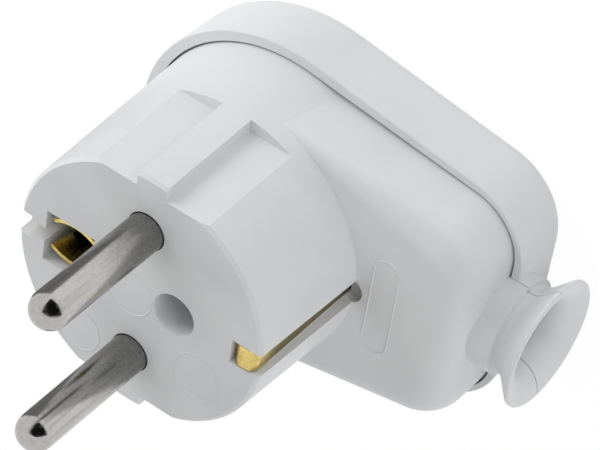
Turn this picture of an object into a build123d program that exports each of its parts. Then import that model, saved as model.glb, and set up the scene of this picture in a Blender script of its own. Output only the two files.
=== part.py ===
from build123d import *
import math
import os

# Angled two-pin plug, millimetres.
# X runs along the cord, Y from pin to pin, Z the way the pins point.
# The origin is the middle of the face, between the pins.

# Pins, standard sizes
pin_d = 4.8
pin_len = 19.0
pin_pitch = 19.0
pin_fit = 0.12          # clearance round a pin in its bore
pin_waist = 0.1         # how much thinner a pin is inside the face
head_d = 7.4            # terminal head behind the face
head_fit = 0.25
wire_hole_d = 3.2

# Nose
nose_r = 17.1           # radius at the face
draft = 1.9             # mould draft of the walls, degrees
face_edge = 0.4         # bevel round the face
face_wall = 7.0         # thickness of the face that holds the pins

# Levels behind the face
arm_depth = 17.1        # front of the arm
split_depth = 25.6      # where the two housings part
back_depth = 35.3       # back of the plug

# Outline of the arm, and the step out to the cover
corner_x = 24.95
corner_y = 7.85
corner_r = 7.0
corner_land = 2.8       # what the edge rounding leaves of the end corners
nose_round = 0.2        # where that rounding starts, beside the nose
root_inset = 0.5
cover_step = 1.35
cover_swell = 0.3       # what the cover adds to that step round the nose
cover_ease = 1.0        # how much rounder its end corners are
cover_draft = 2.2
back_round = 2.55
rim_edge = 0.12         # bevel round the front of the cover
wall = 2.2
skirt = 1.5             # how far the front housing reaches into the cover
seam = 0.28             # gap left round that skirt
lip = 1.2               # how much of the skirt the cover carries

# Guide flats on the nose
flat_y = 15.26
flat_len = 15.1
rib_w = 3.94

# Side slots and the earth strip
slot_w = 3.35
slot_relief_x = 18.7
slot_relief_depth = 1.4
strip_x = 16.3          # outer face of a leg
strip_t = 0.8
strip_w = 3.0
strip_gap = 0.1
strip_tip = 0.1         # how far the hooked end lies below the face
strip_bend = 0.7
strip_hook = 2.2        # how far the hooked end reaches inwards
yoke_w = 7.0

# Contact for the earth pin of a socket
earth_x = -10.0
leaf_r = 2.45
leaf_t = 0.5
leaf_angle = 58.0
leaf_top = 0.9          # how far the leaves stop below the face
lip_len = 2.6
lip_out = 0.12          # how far the lips stand off the leaves
lip_r = 5.0             # the lips are flatter than the leaves, and wider
pocket_x = 6.8
pocket_y = 7.4
pocket_gap = 0.25       # room between the lips and the pocket
neck_w = 2.0

# Screw that holds the housings together
cover_screw_x = 5.1
access_d = 5.6
seat_depth = 12.0
screw_r = 1.5
screw_fit = 0.15
nut_af = 5.5
nut_h = 2.4
column_d = 9.0

# Small screws
small_r = 1.4
small_head_r = 2.7
small_head_h = 1.7
rivet_top_r = 2.2
thread_fit = 0.05
earth_screw_x = -3.0

# Cord clamp
clamp_x = 24.5
clamp_y = 7.6
post_d = 6.4
bar_w = 6.0
bar_t = 3.6
head_gap = 0.3          # room between the screw heads and the cover
saddle_fit = 0.15       # clearance of the cord in its saddle
saddle_depth = 2.5

# Cord outlet
cord_r = 4.25
collar_r = 6.2
collar_end = 34.6
neck_r = 5.65
flare_start = 35.3
bell_x = 38.7
bell_r = 8.15
bell_lip = 0.5          # thickness of the rim
lip_edge = 0.15
half_gap = 0.06         # each half stops this far from the parting plane

# Levels as heights
arm_z = -arm_depth
split_z = -split_depth
back_z = -back_depth
skirt_z = split_z - skirt
roof_z = -face_wall
yoke_z = arm_z - wall
floor_z = back_z + wall
bar_z = floor_z + head_gap + small_head_h
post_z = bar_z + bar_t
base_r = nose_r + split_depth * math.tan(math.radians(draft))
ring_r = base_r - wall
core_r = strip_x - strip_t - 2.0
arm_round = corner_r - corner_land
hook_x = strip_x - strip_t / 2 - strip_hook
slot_in_x = hook_x - 0.8 * strip_t
lip_half = pocket_x / 2 - pocket_gap
sides = (-1, 1)


def block(x0, x1, y0, y1, z0, z1):
    """Box from two opposite corners."""
    middle = ((x0 + x1) / 2, (y0 + y1) / 2, (z0 + z1) / 2)
    return Pos(*middle) * Box(x1 - x0, y1 - y0, z1 - z0)


def rod(x, y, z0, z1, radius):
    """Upright cylinder between two heights."""
    return Pos(x, y, (z0 + z1) / 2) * Cylinder(radius, z1 - z0)


def polar(x, y, radius, angle):
    """Point on a circle."""
    return (x + radius * math.cos(angle), y + radius * math.sin(angle))


def flank_lean(big, small, x, y):
    """Direction that a flank from the root circle to an end corner faces, from the X axis."""
    return math.atan2(y, x) + math.acos((big - small) / math.hypot(x, y))


def outline(root, grow, ease=0.0):
    """Outline of the arm: a root circle and two end corners joined by tangent lines."""
    big = root + grow
    small = corner_r + grow + ease
    x = corner_x - ease
    y = corner_y - ease
    lean = flank_lean(big, small, x, y)
    start = polar(0, 0, big, lean)
    turn = polar(x, y, small, lean)
    half_turn = polar(x, y, small, lean / 2)
    stop = (x + small, y)
    low_start, low_turn, low_half, low_stop = [(a, -b) for a, b in (start, turn, half_turn, stop)]
    low_flank = Line(low_start, low_turn) + ThreePointArc(low_turn, low_half, low_stop)
    high_flank = Line(low_stop, stop) + ThreePointArc(stop, half_turn, turn)
    return make_face(low_flank + high_flank + Line(turn, start) + ThreePointArc(start, (-big, 0), low_start))


def rise(face, height, taper=0.0):
    """Extrude a flat face upwards."""
    return extrude(face, height, dir=(0, 0, 1), taper=taper)


def plate(root, grow, z0, z1):
    """Straight-walled slab of the arm outline."""
    return Pos(0, 0, z0) * rise(outline(root, grow), z1 - z0)


def outlet():
    """Cord neck and bell mouth, turned about the cord axis."""
    throat_x = flare_start - 0.1
    start_x = corner_x + corner_r - wall
    neck_end = (flare_start, neck_r)
    back_rim = (bell_x - bell_lip, bell_r)
    front_rim = (bell_x, bell_r - lip_edge)
    flare = Bezier(neck_end, (flare_start + 0.9, neck_r), (bell_x - 1.8, bell_r - 1.2), back_rim)
    edge = Polyline(back_rim, (bell_x - lip_edge, bell_r), front_rim)
    mouth = Bezier(front_rim, (bell_x - 0.3, bell_r - 2.1), (bell_x - 1.1, cord_r + 0.3), (throat_x, cord_r))
    body = Polyline(
        (throat_x, cord_r), (start_x, cord_r), (start_x, collar_r),
        (collar_end, collar_r), (collar_end, neck_r), neck_end,
    )
    profile = make_face(flare + edge + mouth + body)
    turned = revolve(profile, Axis.X)
    return Pos(0, 0, split_z) * turned


def cord_bore():
    """Clear way for the cord through the end wall."""
    start_x = corner_x + corner_r - 2 * wall
    length = collar_end - start_x
    return Pos(start_x + length / 2, 0, split_z) * Rot(0, 90, 0) * Cylinder(cord_r, length)


def screw(length, shank_r, head_r, head_h, drive):
    """Pan-head screw: seat of the head at the origin, shank upwards, slot below."""
    head = Pos(0, 0, -head_h / 2) * Cylinder(head_r, head_h)
    head = chamfer(head.edges().sort_by(Axis.Z)[0], head_h * 0.3)
    shank = Pos(0, 0, length / 2) * Cylinder(shank_r, length)
    shank = chamfer(shank.edges().sort_by(Axis.Z)[-1], shank_r * 0.3)
    slot = block(-head_r, head_r, -drive / 2, drive / 2, -head_h, -head_h * 0.5)
    return head + shank - slot


def edge_section(radius):
    """Waste outside a rounded edge: the corner at the origin, the wall below it."""
    mid = radius * (1 - math.sqrt(0.5))
    arc = ThreePointArc((0, -radius), (-mid, -mid), (-radius, 0))
    rest = Polyline((-radius, 0), (-radius, 1), (1, 1), (1, -radius), (0, -radius))
    return make_face(arc + rest)


def arm_edge_waste():
    """Waste along the arm's edge, whose rounding grows from the nose to the end."""
    root = base_r - root_inset
    lean = flank_lean(root, corner_r, corner_x, corner_y)
    out = (math.cos(lean), math.sin(lean), 0)
    along = (math.sin(lean), -math.cos(lean), 0)
    start = Plane(origin=(*polar(0, 0, root, lean), arm_z), x_dir=out, z_dir=along)
    turn = Plane(origin=(*polar(corner_x, corner_y, corner_r, lean), arm_z), x_dir=out, z_dir=along)
    stop = Plane(origin=(corner_x + corner_r, corner_y, arm_z), x_dir=(1, 0, 0), z_dir=(0, -1, 0))
    flank = loft([start * edge_section(nose_round), turn * edge_section(arm_round)], ruled=True)
    corner_axis = Axis((corner_x, corner_y, 0), (0, 0, 1))
    flank += revolve(stop * edge_section(arm_round), corner_axis, revolution_arc=math.degrees(lean))
    end = extrude(stop * edge_section(arm_round), 2 * corner_y)
    return flank + end + mirror(flank, Plane.XZ)


def front_shell():
    """Nose, arm and skirt as one closed body."""
    nose = Pos(0, 0, split_z / 2) * Cone(base_r, nose_r, split_depth)
    nose = chamfer(nose.edges().sort_by(Axis.Z)[-1], face_edge)
    arm_h = split_depth - arm_depth
    arm = Pos(0, 0, split_z) * rise(outline(base_r - root_inset, 0), arm_h)
    body = nose + (arm - arm_edge_waste())
    tongue = plate(base_r - root_inset, 0, skirt_z, split_z) + rod(0, 0, skirt_z, split_z, base_r)
    gate = collar_r + seam
    tongue -= block(corner_x, corner_x + 2 * corner_r, -gate, gate, skirt_z, split_z)
    half = outlet() & block(0, 2 * bell_x, -back_depth, back_depth, split_z + half_gap, 0)
    return body + tongue + half


def front_cavity():
    """Room for the terminals, the earth strip and the cord."""
    arm_h = yoke_z - skirt_z
    arm_room = rise(outline(base_r - root_inset, -wall), arm_h)
    arm_room = fillet(arm_room.faces().sort_by(Axis.Z)[-1].edges(), arm_round - wall)
    room = Pos(0, 0, skirt_z) * arm_room
    room += rod(0, 0, skirt_z, yoke_z, ring_r)
    room += rod(0, 0, skirt_z, roof_z, core_r)
    for side in sides:
        room += rod(0, side * pin_pitch / 2, skirt_z, roof_z, head_d / 2 + head_fit)
    return room


def nose_cuts():
    """Openings of the nose: guide flats, side slots, contact pocket and screw hole."""
    top = face_edge + 1
    slope = math.tan(math.radians(draft))
    high = (flat_y - top * slope, top)
    low = (flat_y + flat_len * slope, -flat_len)
    flank = Polyline(high, low, (2 * nose_r, -flat_len), (2 * nose_r, top), close=True)
    guide = extrude(Plane.YZ * make_face(flank), nose_r, both=True)
    guide -= block(-rib_w / 2, rib_w / 2, 0, 2 * nose_r, -flat_len, top)
    cuts = rod(cover_screw_x, 0, -seat_depth, top, access_d / 2)
    cuts += rod(cover_screw_x, 0, yoke_z, top, screw_r + screw_fit)
    half_p = pocket_x / 2
    cuts += block(earth_x - half_p, earth_x + half_p, -pocket_y / 2, pocket_y / 2, skirt_z, top)
    cuts += block(-strip_x, earth_x, -neck_w / 2, neck_w / 2, roof_z, top)
    cuts += block(slot_in_x, strip_x, -slot_w / 2, slot_w / 2, -4 * strip_bend - strip_tip, top)
    for side in sides:
        cuts += rod(0, side * pin_pitch / 2, roof_z, top, pin_d / 2 + pin_fit)
        cuts += guide if side > 0 else mirror(guide, Plane.XZ)
        inner = strip_x - strip_t - strip_gap
        half_w = strip_w / 2 + strip_gap
        way = block(inner, strip_x + strip_gap, -half_w, half_w, yoke_z - 2 * strip_t, top)
        way += block(inner - strip_bend, strip_x, -half_w, half_w, yoke_z, yoke_z + strip_bend)
        way += block(strip_x, base_r + 1, -slot_w / 2, slot_w / 2, arm_z, top)
        cuts += way if side > 0 else mirror(way, Plane.YZ)
    relief_r = slot_w / 2
    cuts += rod(slot_relief_x - relief_r, 0, arm_z - slot_relief_depth, arm_z + 1, relief_r)
    return cuts


def front_housing():
    """Front housing with its screw column and the posts of the cord clamp."""
    body = front_shell() - front_cavity() - cord_bore()
    body += rod(cover_screw_x, 0, yoke_z, roof_z, column_d / 2)
    for side in sides:
        body += rod(clamp_x, side * clamp_y, post_z, yoke_z + 0.5, post_d / 2)
        body -= rod(clamp_x, side * clamp_y, post_z, yoke_z - 1, small_r + thread_fit)
    return body - nose_cuts()


def rear_cover():
    """Rear shell with its rebate, screw column and half of the cord outlet."""
    depth = back_depth - split_depth
    shell = rise(outline(base_r + cover_swell, cover_step, cover_ease), depth, cover_draft)
    shell = fillet(shell.faces().sort_by(Axis.Z)[-1].edges(), back_round)
    shell = chamfer(shell.faces().sort_by(Axis.Z)[0].edges(), rim_edge)
    shell = Pos(0, 0, split_z) * mirror(shell, Plane.XY)
    shell -= plate(base_r, seam, skirt_z, split_z)
    shell -= plate(base_r, -lip, floor_z, split_z)
    half = outlet() & block(0, 2 * bell_x, -back_depth, back_depth, 2 * split_z, split_z - half_gap)
    shell += half
    shell -= cord_bore()
    column = rod(cover_screw_x, 0, floor_z - wall / 2, yoke_z - strip_t, column_d / 2)
    pocket = rise(RegularPolygon(nut_af / 2 + screw_fit, 6, major_radius=False), nut_h)
    column -= Pos(cover_screw_x, 0, yoke_z - strip_t - nut_h) * pocket
    column -= rod(cover_screw_x, 0, floor_z, yoke_z, screw_r + screw_fit)
    return shell + column


def pin(side):
    """Solid pin with a domed tip and a terminal head behind the face."""
    radius = pin_d / 2
    y = side * pin_pitch / 2
    shank = rod(0, y, 0, pin_len - radius, radius)
    shank += rod(0, y, roof_z - 1, 0, radius - pin_waist)
    tip = Pos(0, y, pin_len - radius) * Sphere(radius)
    head_z = yoke_z + 0.5
    head = rod(0, y, head_z, roof_z, head_d / 2)
    head = chamfer(head.edges().sort_by(Axis.Z)[0], 0.4)
    wire_z = (roof_z + head_z) / 2
    cross = Pos(0, y, wire_z) * Rot(0, 90, 0) * Cylinder(wire_hole_d / 2, 2 * head_d)
    tapped = rod(0, y, head_z, wire_z, small_r + thread_fit)
    return shank + tip + head - cross - tapped


def terminal_screws():
    """One clamping screw in each pin head."""
    head_z = yoke_z + 0.5
    length = (roof_z - head_z) / 2 - wire_hole_d / 4
    one = screw(length, small_r, small_head_r, small_head_h, 0.8)
    return [Pos(0, side * pin_pitch / 2, head_z) * one for side in sides]


def earth_strip():
    """Bent brass strip: hooked leg, yoke, second leg."""
    mid_x = strip_x - strip_t / 2
    mid_z = yoke_z - strip_t / 2
    tip_z = -strip_tip - strip_t / 2
    path = FilletPolyline(
        (hook_x, 0, tip_z - 2 * strip_bend), (hook_x, 0, tip_z), (mid_x, 0, tip_z),
        (mid_x, 0, mid_z), (-mid_x, 0, mid_z), (-mid_x, 0, tip_z - 2),
        radius=strip_bend,
    )
    section = Plane(origin=path @ 0, x_dir=(0, 1, 0), z_dir=path % 0) * Rectangle(strip_w, strip_t)
    strip = sweep(section, path)
    half = yoke_w / 2
    strip += block(earth_x - half, cover_screw_x + half, -half, half, yoke_z - strip_t, yoke_z)
    strip -= rod(cover_screw_x, 0, yoke_z - 2, yoke_z + 2, screw_r + screw_fit)
    strip -= rod(earth_screw_x, 0, yoke_z - 2, yoke_z + 2, small_r + thread_fit)
    strip -= rod(earth_x, 0, yoke_z - 2, yoke_z + 2, small_r + thread_fit)
    return strip


def leaf_section(centre_y, radius, half):
    """Section of one leaf: a ring sector towards +Y."""
    inner = [polar(0, centre_y, radius, math.pi / 2 + turn) for turn in (-half, 0, half)]
    outer = [polar(0, centre_y, radius + leaf_t, math.pi / 2 + turn) for turn in (-half, 0, half)]
    ends = Line(inner[2], outer[2]) + Line(outer[0], inner[0])
    return make_face(ThreePointArc(*inner) + ThreePointArc(*outer) + ends)


def earth_pin_contact():
    """Two sprung leaves with flared lips on a small base plate."""
    base_top = yoke_z + leaf_t
    outer = leaf_r + leaf_t
    half = math.radians(leaf_angle)
    lip_z = -leaf_top - lip_len
    leaf = Pos(0, 0, yoke_z) * rise(leaf_section(0, leaf_r, half), lip_z - yoke_z)
    wide = leaf_section(leaf_r + lip_out - lip_r, lip_r, math.asin(lip_half / (lip_r + leaf_t)))
    leaf += loft([Pos(0, 0, lip_z) * leaf_section(0, leaf_r, half), Pos(0, 0, -leaf_top) * wide], ruled=True)
    leaves = leaf + mirror(leaf, Plane.XZ)
    base = rod(0, 0, yoke_z, base_top, outer)
    sink = Cone(small_r + thread_fit, rivet_top_r + thread_fit, leaf_t)
    base -= Pos(0, 0, yoke_z + leaf_t / 2) * sink
    return Pos(earth_x, 0, 0) * (leaves + base)


def contact_rivet():
    """Rivet through the contact base and the yoke, flush in the base."""
    low = yoke_z - strip_t
    rivet = rod(earth_x, 0, low, yoke_z, small_r)
    rivet += Pos(earth_x, 0, yoke_z + leaf_t / 2) * Cone(small_r, rivet_top_r, leaf_t)
    rivet += rod(earth_x, 0, low - strip_t, low, rivet_top_r)
    return rivet


def earth_washer():
    """Square washer that presses on the earth wire."""
    z = yoke_z - strip_t
    side = 2.2 * small_head_r
    plate_z = Pos(earth_screw_x, 0, z - strip_t / 2) * Box(side, side, strip_t)
    return plate_z - rod(earth_screw_x, 0, z - 2, z + 1, small_r + screw_fit)


def earth_screw():
    """Screw of the earth terminal."""
    z = yoke_z - 2 * strip_t
    one = screw(4 * strip_t + 2, small_r, small_head_r, small_head_h, 0.8)
    return Pos(earth_screw_x, 0, z) * one


def cover_screw():
    """Long screw from the face into the nut of the cover."""
    length = yoke_z - strip_t - nut_h - 1 + seat_depth
    one = screw(-length, screw_r - thread_fit, access_d / 2 - screw_fit, 2.2, 0.9)
    return Pos(cover_screw_x, 0, -seat_depth) * Rot(180, 0, 0) * one


def cover_nut():
    """Hexagon nut held in the column of the cover."""
    body = rise(RegularPolygon(nut_af / 2, 6, major_radius=False), nut_h)
    body -= rod(0, 0, 0, nut_h, screw_r)
    return Pos(cover_screw_x, 0, yoke_z - strip_t - nut_h) * body


def cord_bar():
    """Clamp bar with a saddle for the cord."""
    reach = clamp_y + post_d / 2
    bar = block(clamp_x - bar_w / 2, clamp_x + bar_w / 2, -reach, reach, bar_z, post_z)
    bar = fillet(bar.edges().filter_by(Axis.Z), 1.5)
    saddle_r = cord_r + saddle_fit
    bar -= Pos(clamp_x, 0, post_z - saddle_depth + saddle_r) * Rot(0, 90, 0) * Cylinder(saddle_r, 2 * bar_w)
    for side in sides:
        bar -= rod(clamp_x, side * clamp_y, bar_z, post_z, small_r + screw_fit)
    return bar


def cord_screws():
    """The two screws of the cord clamp."""
    length = yoke_z - 2 - bar_z
    one = screw(length, small_r, small_head_r, small_head_h, 0.8)
    return [Pos(clamp_x, side * clamp_y, bar_z) * one for side in sides]


def save(name, shape):
    """Write one node, as one solid or as a group of separate solids."""
    group = Compound(children=shape) if isinstance(shape, list) else shape
    export_step(group, f"parts/{name}.step")


os.makedirs("parts", exist_ok=True)
save("front_housing", front_housing())
save("rear_cover", rear_cover())
save("line_pin", pin(1))
save("neutral_pin", pin(-1))
save("terminal_screws", terminal_screws())
save("earth_strip", earth_strip())
save("earth_pin_contact", earth_pin_contact())
save("contact_rivet", contact_rivet())
save("earth_washer", earth_washer())
save("earth_screw", earth_screw())
save("cover_screw", cover_screw())
save("cover_nut", cover_nut())
save("cord_bar", cord_bar())
save("cord_screws", cord_screws())
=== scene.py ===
import logging
from dataclasses import dataclass
from enum import Enum

import bpy
from mathutils import Matrix, Vector


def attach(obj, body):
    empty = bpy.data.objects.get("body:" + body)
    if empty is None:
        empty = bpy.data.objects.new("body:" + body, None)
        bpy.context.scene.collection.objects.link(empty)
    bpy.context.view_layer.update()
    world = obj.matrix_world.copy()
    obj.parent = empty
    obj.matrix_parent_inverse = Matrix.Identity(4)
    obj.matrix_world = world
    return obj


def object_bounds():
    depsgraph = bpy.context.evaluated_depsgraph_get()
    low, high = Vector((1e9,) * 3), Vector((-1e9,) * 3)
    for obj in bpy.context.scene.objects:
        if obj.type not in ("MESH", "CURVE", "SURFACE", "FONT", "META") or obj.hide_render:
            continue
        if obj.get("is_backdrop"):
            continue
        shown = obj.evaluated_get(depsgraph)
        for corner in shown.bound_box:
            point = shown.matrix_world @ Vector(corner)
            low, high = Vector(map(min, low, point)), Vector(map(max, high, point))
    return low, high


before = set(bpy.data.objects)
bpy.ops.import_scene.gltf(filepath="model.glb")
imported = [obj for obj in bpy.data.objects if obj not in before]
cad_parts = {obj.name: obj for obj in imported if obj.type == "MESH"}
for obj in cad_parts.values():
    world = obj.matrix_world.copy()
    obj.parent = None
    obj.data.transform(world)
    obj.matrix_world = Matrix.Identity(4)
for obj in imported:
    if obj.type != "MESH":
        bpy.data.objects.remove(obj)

LOG = logging.getLogger("angled_plug")
MM = 0.001
Number = int | float
Colour = tuple[float, float, float]
Point = tuple[float, float, float]


class Slot(Enum):
    """Material slots of the record that the finishes belong to."""

    PLASTIC = "white_plastic"
    NICKEL = "nickel_plate"
    BRASS = "brass"
    ZINC = "zinc_steel"


Finishes = dict[Slot, bpy.types.Material]


class Sock:
    """A node's output socket that can be used in Python arithmetic."""

    def __init__(self, graph: "Graph", socket: bpy.types.NodeSocket) -> None:
        """Keep the socket and the graph that it belongs to.

        Args:
            graph: Graph that makes the nodes of an expression.
            socket: Output socket that holds the value.
        """
        self.graph = graph
        self.socket = socket

    def _math(self, operation: str, first: "Sock | Number", second: "Sock | Number") -> "Sock":
        """Add one Math node.

        Args:
            operation: The Math node's operation.
            first: First operand.
            second: Second operand.

        Returns:
            The node's output.
        """
        return self.graph.node("ShaderNodeMath", {"operation": operation}, {0: first, 1: second})

    def __add__(self, other: "Sock | Number") -> "Sock":
        """Sum of two values."""
        return self._math("ADD", self, other)

    def __radd__(self, other: Number) -> "Sock":
        """Sum with a plain number on the left."""
        return self._math("ADD", other, self)

    def __sub__(self, other: "Sock | Number") -> "Sock":
        """Difference of two values."""
        return self._math("SUBTRACT", self, other)

    def __rsub__(self, other: Number) -> "Sock":
        """Difference from a plain number on the left."""
        return self._math("SUBTRACT", other, self)

    def __mul__(self, other: "Sock | Number") -> "Sock":
        """Product of two values."""
        return self._math("MULTIPLY", self, other)

    def __rmul__(self, other: Number) -> "Sock":
        """Product with a plain number on the left."""
        return self._math("MULTIPLY", other, self)

    def ramp(self, low: Number, high: Number) -> "Sock":
        """Stretch the span between two values to 0 and 1.

        Args:
            low: Value that becomes 0.
            high: Value that becomes 1.

        Returns:
            The clamped result.
        """
        settings = {"interpolation_type": "SMOOTHSTEP"}
        wanted = {"Value": self, "From Min": low, "From Max": high}
        return self.graph.node("ShaderNodeMapRange", settings, wanted)


class Graph:
    """A material's node tree with one method that makes every node."""

    def __init__(self, tree: bpy.types.NodeTree) -> None:
        """Start from an empty tree.

        Args:
            tree: Node tree to fill.
        """
        self.tree = tree
        tree.nodes.clear()

    def node(
        self, kind: str, settings: dict | None = None, inputs: dict | None = None, out: int | str = 0,
    ) -> Sock:
        """Make a node, set it up and link its sockets.

        Args:
            kind: Node type, as Blender names it.
            settings: Attributes of the node, set first.
            inputs: Socket name or number to a value, or to an output to link.
            out: Output to hand back.

        Returns:
            The chosen output.
        """
        made = self.tree.nodes.new(kind)
        for name, value in (settings or {}).items():
            setattr(made, name, value)
        for key, value in (inputs or {}).items():
            if isinstance(value, Sock):
                self.tree.links.new(value.socket, made.inputs[key])
            else:
                made.inputs[key].default_value = value
        return Sock(self, made.outputs[out])

    def place(self, scale: Point) -> Sock:
        """Object coordinates, stretched.

        Args:
            scale: Factor along each axis.

        Returns:
            The stretched coordinates.
        """
        where = self.node("ShaderNodeTexCoord", out="Object")
        return self.node("ShaderNodeMapping", {}, {"Vector": where, "Scale": scale})

    def noise(self, scale: Point, detail: float = 2.0, rough: float = 0.5) -> Sock:
        """Noise over the object, with its grain set per axis.

        Args:
            scale: Grains per metre along each axis.
            detail: Number of finer layers.
            rough: Strength of the finer layers.

        Returns:
            The noise value.
        """
        wanted = {"Vector": self.place(scale), "Scale": 1.0, "Detail": detail, "Roughness": rough}
        return self.node("ShaderNodeTexNoise", {"noise_dimensions": "3D"}, wanted, "Fac")

    def seen(self) -> Sock:
        """Tell rays that show a surface to the camera, direct or mirrored.

        Returns:
            1 for such a ray, 0 for any other.
        """
        kinds = ("Is Camera Ray", "Is Glossy Ray", "Is Transmission Ray")
        camera, glossy, through = (self.node("ShaderNodeLightPath", out=kind) for kind in kinds)
        return (camera + glossy + through).ramp(0.0, 1.0)

    def height(self) -> Sock:
        """Height over the row frame's zero, in metres."""
        where = self.node("ShaderNodeTexCoord", out="Object")
        return self.node("ShaderNodeSeparateXYZ", {}, {0: where}, "Z")

    def mix(self, factor: Sock, first: "Sock | Colour", second: "Sock | Colour") -> Sock:
        """Blend two colours.

        Args:
            factor: 0 for the first colour, 1 for the second.
            first: First colour.
            second: Second colour.

        Returns:
            The blended colour.
        """
        ends = [colour if isinstance(colour, Sock) else (*colour, 1.0) for colour in (first, second)]
        return self.node("ShaderNodeMix", {"data_type": "RGBA"}, {0: factor, 6: ends[0], 7: ends[1]}, 2)

    def bump(self, height: Sock, strength: float, distance: float) -> Sock:
        """Normal disturbed by a height.

        Args:
            height: Height over the surface.
            strength: How much of it is used.
            distance: Real depth in metres.

        Returns:
            The normal.
        """
        wanted = {"Height": height, "Strength": strength, "Distance": distance}
        return self.node("ShaderNodeBump", {}, wanted)

    def surface(self, inputs: dict) -> None:
        """End the tree in a principled surface.

        Args:
            inputs: Socket name to a value or an output.
        """
        self.end("ShaderNodeOutputMaterial", self.node("ShaderNodeBsdfPrincipled", {}, inputs))

    def end(self, kind: str, shader: Sock) -> None:
        """Link a shader to the tree's output.

        Args:
            kind: Type of the output node.
            shader: The finished shader.
        """
        made = self.tree.nodes.new(kind)
        self.tree.links.new(shader.socket, made.inputs["Surface"])


def new_material(name: str) -> tuple[bpy.types.Material, Graph]:
    """Make an empty node material.

    Args:
        name: Name of the material.

    Returns:
        The material and its graph.
    """
    material = bpy.data.materials.new(name)
    material.use_nodes = True
    return material, Graph(material.node_tree)


@dataclass(frozen=True)
class MouldedPlastic:
    """Satin white plastic with the fine grain of its mould."""

    name: str = "satin_white_plastic"
    body: Colour = (0.80, 0.806, 0.815)
    cloud: Colour = (0.765, 0.772, 0.785)
    grain: float = 5200.0
    cloud_size: float = 90.0
    relief: float = 0.00002
    rough: float = 0.42
    rough_spread: float = 0.08

    def material(self) -> bpy.types.Material:
        """Build the plastic.

        Returns:
            The finished material.
        """
        material, graph = new_material(self.name)
        cloud = graph.noise((self.cloud_size,) * 3, 3.0, 0.6)
        grain = graph.noise((self.grain,) * 3, 2.0, 0.5)
        graph.surface({
            "Base Color": graph.mix(cloud.ramp(0.35, 0.7), self.body, self.cloud),
            "Roughness": self.rough + (cloud - 0.5) * self.rough_spread,
            "Normal": graph.bump(grain, 0.35, self.relief),
            "IOR": 1.49,
        })
        return material


@dataclass(frozen=True)
class TurnedNickel:
    """Nickel plate on turned pins, polished along the shank, with painted shade that darkens it near the
    face and greys the tips.
    """

    name: str = "turned_nickel"
    bright: Colour = (0.53, 0.52, 0.505)
    dull: Colour = (0.41, 0.405, 0.39)
    # Painted shade: dark colour laid over the pins near the face, standing in for the dark reflection
    # there.
    painted_base_shade: Colour = (0.17, 0.168, 0.162)
    across: float = 1500.0
    along: float = 60.0
    speck: float = 2400.0
    # Heights in metres over which the painted base shade fades out up the shank.
    base_shade_bottom: float = 0.002
    base_shade_top: float = 0.011
    # Heights in metres where painted shade greys the pin tips toward the dull colour.
    tip_shade_bottom: float = 0.0164
    tip_shade_top: float = 0.0178
    rough: float = 0.12
    rough_spread: float = 0.16

    def material(self) -> bpy.types.Material:
        """Build the plating.

        Returns:
            The finished material.
        """
        material, graph = new_material(self.name)
        streak = graph.noise((self.across, self.across, self.along), 3.0, 0.6)
        speck = graph.noise((self.speck,) * 3, 3.0, 0.7)
        wear = (streak * 0.6 + speck * 0.4).ramp(0.38, 0.68)
        height = graph.height() + (streak - 0.5) * 0.012
        # Painted shade mask: 1 near the face, fading to 0 up the shank, with a streaky edge.
        low = 1 - height.ramp(self.base_shade_bottom, self.base_shade_top)
        # Painted shade mask on the tips: 1 above the tip heights.
        tip_shade = graph.height().ramp(self.tip_shade_bottom, self.tip_shade_top)
        # The dull colour is random wear, and on the tips it is also painted shade.
        plate = graph.mix(wear + tip_shade * (1 - wear) * 0.55, self.bright, self.dull)
        graph.surface({
            # Base colour: painted base shade laid over the plate near the face, broken up by speckle.
            "Base Color": graph.mix(low * (0.45 + speck * 0.55), plate, self.painted_base_shade),
            "Metallic": 1.0,
            "Roughness": self.rough + wear * self.rough_spread + low * 0.14,
            "Normal": graph.bump(speck, 0.12, 0.00001),
        })
        return material


@dataclass(frozen=True)
class RolledBrass:
    """Yellow brass strip with rolling marks and rubbed and tarnished patches, with painted shade making it
    dark brown below the face.
    """

    name: str = "rolled_brass"
    bright: Colour = (0.78, 0.62, 0.22)
    tarnish: Colour = (0.50, 0.36, 0.11)
    # Painted shade: dark olive-brown laid on the strip below the face, where it sits in shade.
    painted_lower_shade: Colour = (0.20, 0.17, 0.07)
    # Heights in metres over which the painted lower shade fades in going down.
    lower_shade_bottom: float = -0.005
    lower_shade_top: float = -0.001
    across: float = 2200.0
    along: float = 120.0
    rough: float = 0.2
    rough_spread: float = 0.2

    def material(self) -> bpy.types.Material:
        """Build the brass.

        Returns:
            The finished material.
        """
        material, graph = new_material(self.name)
        streak = graph.noise((self.across, self.across, self.along), 3.0, 0.6)
        patch = graph.noise((260.0,) * 3, 3.0, 0.6)
        wear = (streak * 0.4 + patch * 0.6).ramp(0.38, 0.68)
        # Painted shade mask: 1 well below the face, fading to 0 just under it.
        low = 1 - graph.height().ramp(self.lower_shade_bottom, self.lower_shade_top)
        rubbed = graph.mix(wear, self.bright, self.tarnish)
        graph.surface({
            # Base colour: rubbed and tarnished brass, darkened below the face by painted shade.
            "Base Color": graph.mix(low * 0.85, rubbed, self.painted_lower_shade),
            "Metallic": 1.0,
            "Roughness": self.rough + wear * self.rough_spread,
            "Normal": graph.bump(streak, 0.25, 0.00001),
        })
        return material


@dataclass(frozen=True)
class ZincPlate:
    """Zinc-plated steel of the screws and the nut."""

    name: str = "zinc_plate"
    bright: Colour = (0.58, 0.585, 0.59)
    dull: Colour = (0.40, 0.41, 0.43)
    speck: float = 1800.0
    rough: float = 0.3

    def material(self) -> bpy.types.Material:
        """Build the plating.

        Returns:
            The finished material.
        """
        material, graph = new_material(self.name)
        speck = graph.noise((self.speck,) * 3, 3.0, 0.6)
        graph.surface({
            "Base Color": graph.mix(speck.ramp(0.35, 0.7), self.bright, self.dull),
            "Metallic": 1.0,
            "Roughness": self.rough + speck * 0.15,
        })
        return material


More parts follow.
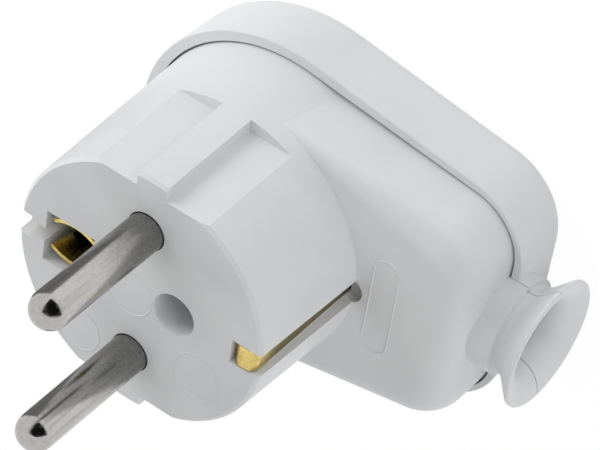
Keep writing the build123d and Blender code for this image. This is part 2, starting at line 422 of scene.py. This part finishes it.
class BeadTree:
    """Geometry nodes that run a fine raised bead along a rounded outline."""

    def __init__(self) -> None:
        """Build the node group once, with its sizes as named inputs."""
        self.tree = bpy.data.node_groups.new("raised_bead", "GeometryNodeTree")
        face = self.tree.interface
        face.new_socket("Geometry", in_out="OUTPUT", socket_type="NodeSocketGeometry")
        self.sockets = {}
        for name in ("Length", "Width", "Bead Radius"):
            made = face.new_socket(name, in_out="INPUT", socket_type="NodeSocketFloat")
            self.sockets[name] = made.identifier
        made = face.new_socket("Finish", in_out="INPUT", socket_type="NodeSocketMaterial")
        self.sockets["Finish"] = made.identifier
        self._fill()

    def _add(self, kind: str, settings: dict | None = None, inputs: dict | None = None) -> bpy.types.Node:
        """Make one node of the tree.

        Args:
            kind: Node type.
            settings: Attributes set first.
            inputs: Socket name to a value or to an output to link.

        Returns:
            The node.
        """
        made = self.tree.nodes.new(kind)
        for name, value in (settings or {}).items():
            setattr(made, name, value)
        for name, value in (inputs or {}).items():
            if isinstance(value, bpy.types.NodeSocket):
                self.tree.links.new(value, made.inputs[name])
            else:
                made.inputs[name].default_value = value
        return made

    def _fill(self) -> None:
        """Link outline, rounding, sweep, finish and output."""
        given = self._add("NodeGroupInput").outputs
        half = self._add("ShaderNodeMath", {"operation": "MULTIPLY"}, {0: given["Width"], 1: 0.4995})
        box = self._add("GeometryNodeCurvePrimitiveQuadrilateral", {"mode": "RECTANGLE"},
                        {"Width": given["Width"], "Height": given["Length"]})
        rounding = self._add("GeometryNodeFilletCurve", {"mode": "POLY"},
                             {"Curve": box.outputs[0], "Count": 16, "Radius": half.outputs[0]})
        profile = self._add("GeometryNodeCurvePrimitiveCircle", {"mode": "RADIUS"},
                            {"Resolution": 10, "Radius": given["Bead Radius"]})
        sweep = self._add("GeometryNodeCurveToMesh", {},
                          {"Curve": rounding.outputs[0], "Profile Curve": profile.outputs[0]})
        whole = self._add("GeometryNodeRealizeInstances", {}, {"Geometry": sweep.outputs[0]})
        dressed = self._add("GeometryNodeSetMaterial", {},
                            {"Geometry": whole.outputs[0], "Material": given["Finish"]})
        end = self._add("NodeGroupOutput")
        self.tree.links.new(dressed.outputs[0], end.inputs[0])

    def bead(self, name: str, sizes: dict, finish: bpy.types.Material, place: Matrix) -> bpy.types.Object:
        """Make one bead as a plain mesh in place.

        Args:
            name: Name of the piece.
            sizes: Value of each named size, in metres.
            finish: Material of the bead.
            place: Where the outline's middle goes.

        Returns:
            The finished object, at the origin.
        """
        holder = bpy.data.objects.new(name, bpy.data.meshes.new(name))
        bpy.context.scene.collection.objects.link(holder)
        modifier = holder.modifiers.new("bead", "NODES")
        modifier.node_group = self.tree
        for key, value in sizes.items():
            modifier[self.sockets[key]] = value
        modifier[self.sockets["Finish"]] = finish
        graph = bpy.context.evaluated_depsgraph_get()
        mesh = bpy.data.meshes.new_from_object(holder.evaluated_get(graph))
        holder.modifiers.clear()
        mesh.name = name
        mesh.transform(place)
        mesh.polygons.foreach_set("use_smooth", [True] * len(mesh.polygons))
        holder.data = mesh
        return holder


def dress(node: str, finish: bpy.types.Material) -> None:
    """Give a carried-over solid its finish.

    Args:
        node: Name of the solid.
        finish: Material to show.
    """
    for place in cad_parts[node].material_slots:
        place.material = finish
    LOG.info("%s dressed in %s", node, finish.name)


@dataclass
class Housing:
    """White front housing and rear cover, with the raised marks of the mould."""

    solids: tuple[str, ...] = ("front_housing", "rear_cover", "cord_bar")
    plaque_x: float = 21.3
    plaque_z: float = -17.1
    plaque_length: float = 14.0
    plaque_width: float = 3.4
    ring_places: tuple[tuple[float, float], ...] = ((-1.2, -0.6), (9.2, -7.0), (-7.6, -10.6))
    ring_radius: float = 3.2
    bead: float = 0.11

    def build(self, finishes: Finishes, beads: BeadTree) -> None:
        """Dress the solids and add the raised outlines.

        Args:
            finishes: Finish of each material slot.
            beads: Maker of the raised outlines.
        """
        plastic = finishes[Slot.PLASTIC]
        for node in self.solids:
            dress(node, plastic)
        long, wide = self.plaque_length * MM, self.plaque_width * MM
        sizes = {"Length": long, "Width": wide, "Bead Radius": self.bead * MM}
        place = Matrix.Translation((self.plaque_x * MM, 0.0, self.plaque_z * MM))
        self._ride(beads.bead("plaque_border", sizes, plastic, place))
        across = 2 * self.ring_radius * MM
        for number, (x, y) in enumerate(self.ring_places, 1):
            sizes = {"Length": across, "Width": across, "Bead Radius": 0.6 * self.bead * MM}
            place = Matrix.Translation((x * MM, y * MM, 0.0))
            self._ride(beads.bead(f"face_ring_{number}", sizes, plastic, place))

    def _ride(self, piece: bpy.types.Object) -> None:
        """Fix a piece to the plug's one body.

        Args:
            piece: Finished piece, in its place.
        """
        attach(piece, "root")
        LOG.info("%s made", piece.name)


@dataclass
class Contacts:
    """Live pins and both earth contacts."""

    pins: tuple[str, ...] = ("line_pin", "neutral_pin")
    earths: tuple[str, ...] = ("earth_strip", "earth_pin_contact", "contact_rivet")

    def build(self, finishes: Finishes) -> None:
        """Dress the contacts.

        Args:
            finishes: Finish of each material slot.
        """
        for node in self.pins:
            dress(node, finishes[Slot.NICKEL])
        for node in self.earths:
            dress(node, finishes[Slot.BRASS])


@dataclass
class Fasteners:
    """Screws, washer and nut inside the plug."""

    solids: tuple[str, ...] = (
        "terminal_screws", "earth_washer", "earth_screw", "cover_screw", "cover_nut", "cord_screws",
    )

    def build(self, finishes: Finishes) -> None:
        """Dress the fasteners.

        Args:
            finishes: Finish of each material slot.
        """
        for node in self.solids:
            dress(node, finishes[Slot.ZINC])


@dataclass(frozen=True)
class Lamp:
    """One soft box of the studio."""

    name: str
    place: Point
    power: float
    aim: Point = (0.0, 0.0, -0.015)
    size: float = 0.35

    def build(self) -> None:
        """Hang the lamp and turn it to its aim."""
        data = bpy.data.lights.new(self.name, "AREA")
        data.shape = "SQUARE"
        data.size = self.size
        data.energy = self.power
        lamp = bpy.data.objects.new(self.name, data)
        bpy.context.scene.collection.objects.link(lamp)
        lamp.visible_glossy = False
        lamp.location = self.place
        lamp.rotation_euler = (Vector(self.aim) - Vector(self.place)).to_track_quat("-Z", "Y").to_euler()


@dataclass(frozen=True)
class Card:
    """Dark card that only shows in the gloss of metal."""

    name: str
    corners: tuple[Point, ...]
    shade: float = 0.02

    def build(self) -> None:
        """Set the card up and hide it from all but glossy rays."""
        mesh = bpy.data.meshes.new(self.name)
        mesh.from_pydata(self.corners, [], [tuple(range(len(self.corners)))])
        card = bpy.data.objects.new(self.name, mesh)
        bpy.context.scene.collection.objects.link(card)
        material, graph = new_material(self.name)
        felt = graph.noise((400.0,) * 3, 2.0, 0.5)
        tint = graph.mix(felt, (self.shade,) * 3, (1.4 * self.shade,) * 3)
        graph.end("ShaderNodeOutputMaterial", graph.node("ShaderNodeBsdfDiffuse", {}, {"Color": tint}))
        mesh.materials.append(material)
        card.visible_camera = False
        card.visible_diffuse = False
        card.visible_transmission = False
        card.visible_shadow = False
        card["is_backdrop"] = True


@dataclass
class Studio:
    """Pale floor, white surround, soft lamps and dark cards."""

    floor_half: float = 3.0
    paper: Colour = (0.90, 0.90, 0.90)
    glow: float = 1.05
    glow_share: float = 0.9
    sky: float = 0.43
    lamps: tuple[Lamp, ...] = (
        Lamp("left_box", (-0.41, 0.41, 0.15), 1.25),
        Lamp("right_box", (0.41, 0.41, 0.15), 0.68),
        Lamp("low_box", (0.41, -0.41, 0.15), 0.62),
        Lamp("far_box", (-0.58, 0.0, 0.15), 0.95),
    )
    cards: tuple[Card, ...] = (
        Card("side_card", (
            (-0.035, -0.05, -0.0345), (-0.035, 0.10, -0.0345),
            (-0.16, 0.10, -0.0345), (-0.16, -0.05, -0.0345),
        ), 0.25),
        Card("front_card", (
            (0.090, 0.006, 0.008), (-0.009, 0.089, 0.008),
            (-0.018, 0.054, 0.182), (0.080, 0.022, 0.145),
        ), 0.01),
    )

    def build(self, floor_z: float) -> None:
        """Set up floor, surround, lamps and cards.

        Args:
            floor_z: Height of the floor, in metres.
        """
        self._floor(floor_z)
        self._surround()
        for piece in (*self.lamps, *self.cards):
            piece.build()
            LOG.info("%s set up", piece.name)

    def _floor(self, z: float) -> None:
        """Lay the floor under the plug.

        Args:
            z: Height of the floor, in metres.
        """
        half = self.floor_half
        mesh = bpy.data.meshes.new("floor")
        corners = [(-half, -half, z), (half, -half, z), (half, half, z), (-half, half, z)]
        mesh.from_pydata(corners, [], [(0, 1, 2, 3)])
        floor = bpy.data.objects.new("floor", mesh)
        bpy.context.scene.collection.objects.link(floor)
        material, graph = new_material("pale_floor")
        paper = graph.node("ShaderNodeBsdfDiffuse", {}, {"Color": (*self.paper, 1.0)})
        glow = graph.node("ShaderNodeEmission", {}, {"Color": (1.0, 1.0, 1.0, 1.0), "Strength": self.glow})
        share = graph.seen() * self.glow_share
        both = graph.node("ShaderNodeMixShader", {}, {0: share, 1: paper, 2: glow})
        graph.end("ShaderNodeOutputMaterial", both)
        mesh.materials.append(material)
        floor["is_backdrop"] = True

    def _surround(self) -> None:
        """White surround, at full white where it is seen or mirrored."""
        world = bpy.data.worlds.new("studio")
        bpy.context.scene.world = world
        world.use_nodes = True
        graph = Graph(world.node_tree)
        strength = self.sky + graph.seen() * (1.0 - self.sky)
        back = graph.node("ShaderNodeBackground", {}, {"Color": (1.0, 1.0, 1.0, 1.0), "Strength": strength})
        graph.end("ShaderNodeOutputWorld", back)


@dataclass
class Shot:
    """Camera that stands where the photograph was taken from."""

    eye: Point = (157.95, 284.20, 243.57)
    aim: Point = (6.66, 0.0, -21.6)
    image_up: Point = (-0.482, 0.721, -0.498)
    lens: float = 218.7
    sensor: float = 36.0

    def build(self) -> None:
        """Place the camera and make it the scene's own."""
        data = bpy.data.cameras.new("shot")
        data.lens = self.lens
        data.sensor_width = self.sensor
        data.clip_start = 0.01
        data.clip_end = 20.0
        camera = bpy.data.objects.new("shot", data)
        bpy.context.scene.collection.objects.link(camera)
        eye = Vector(self.eye) * MM
        back = (eye - Vector(self.aim) * MM).normalized()
        right = Vector(self.image_up).cross(back).normalized()
        up = back.cross(right)
        turn = Matrix((right, up, back)).transposed()
        camera.matrix_world = Matrix.Translation(eye) @ turn.to_4x4()
        bpy.context.scene.camera = camera


def main() -> None:
    """Dress the plug, build the studio with its floor under the solids and set the camera."""
    logging.basicConfig(level=logging.INFO, format="%(message)s")
    solid_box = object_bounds()
    finishes = {
        Slot.PLASTIC: MouldedPlastic().material(),
        Slot.NICKEL: TurnedNickel().material(),
        Slot.BRASS: RolledBrass().material(),
        Slot.ZINC: ZincPlate().material(),
    }
    Housing().build(finishes, BeadTree())
    Contacts().build(finishes)
    Fasteners().build(finishes)
    Studio().build(solid_box[0].z)
    Shot().build()
    bpy.context.scene.view_settings.view_transform = "Standard"


if __name__ == "__main__":
    main()
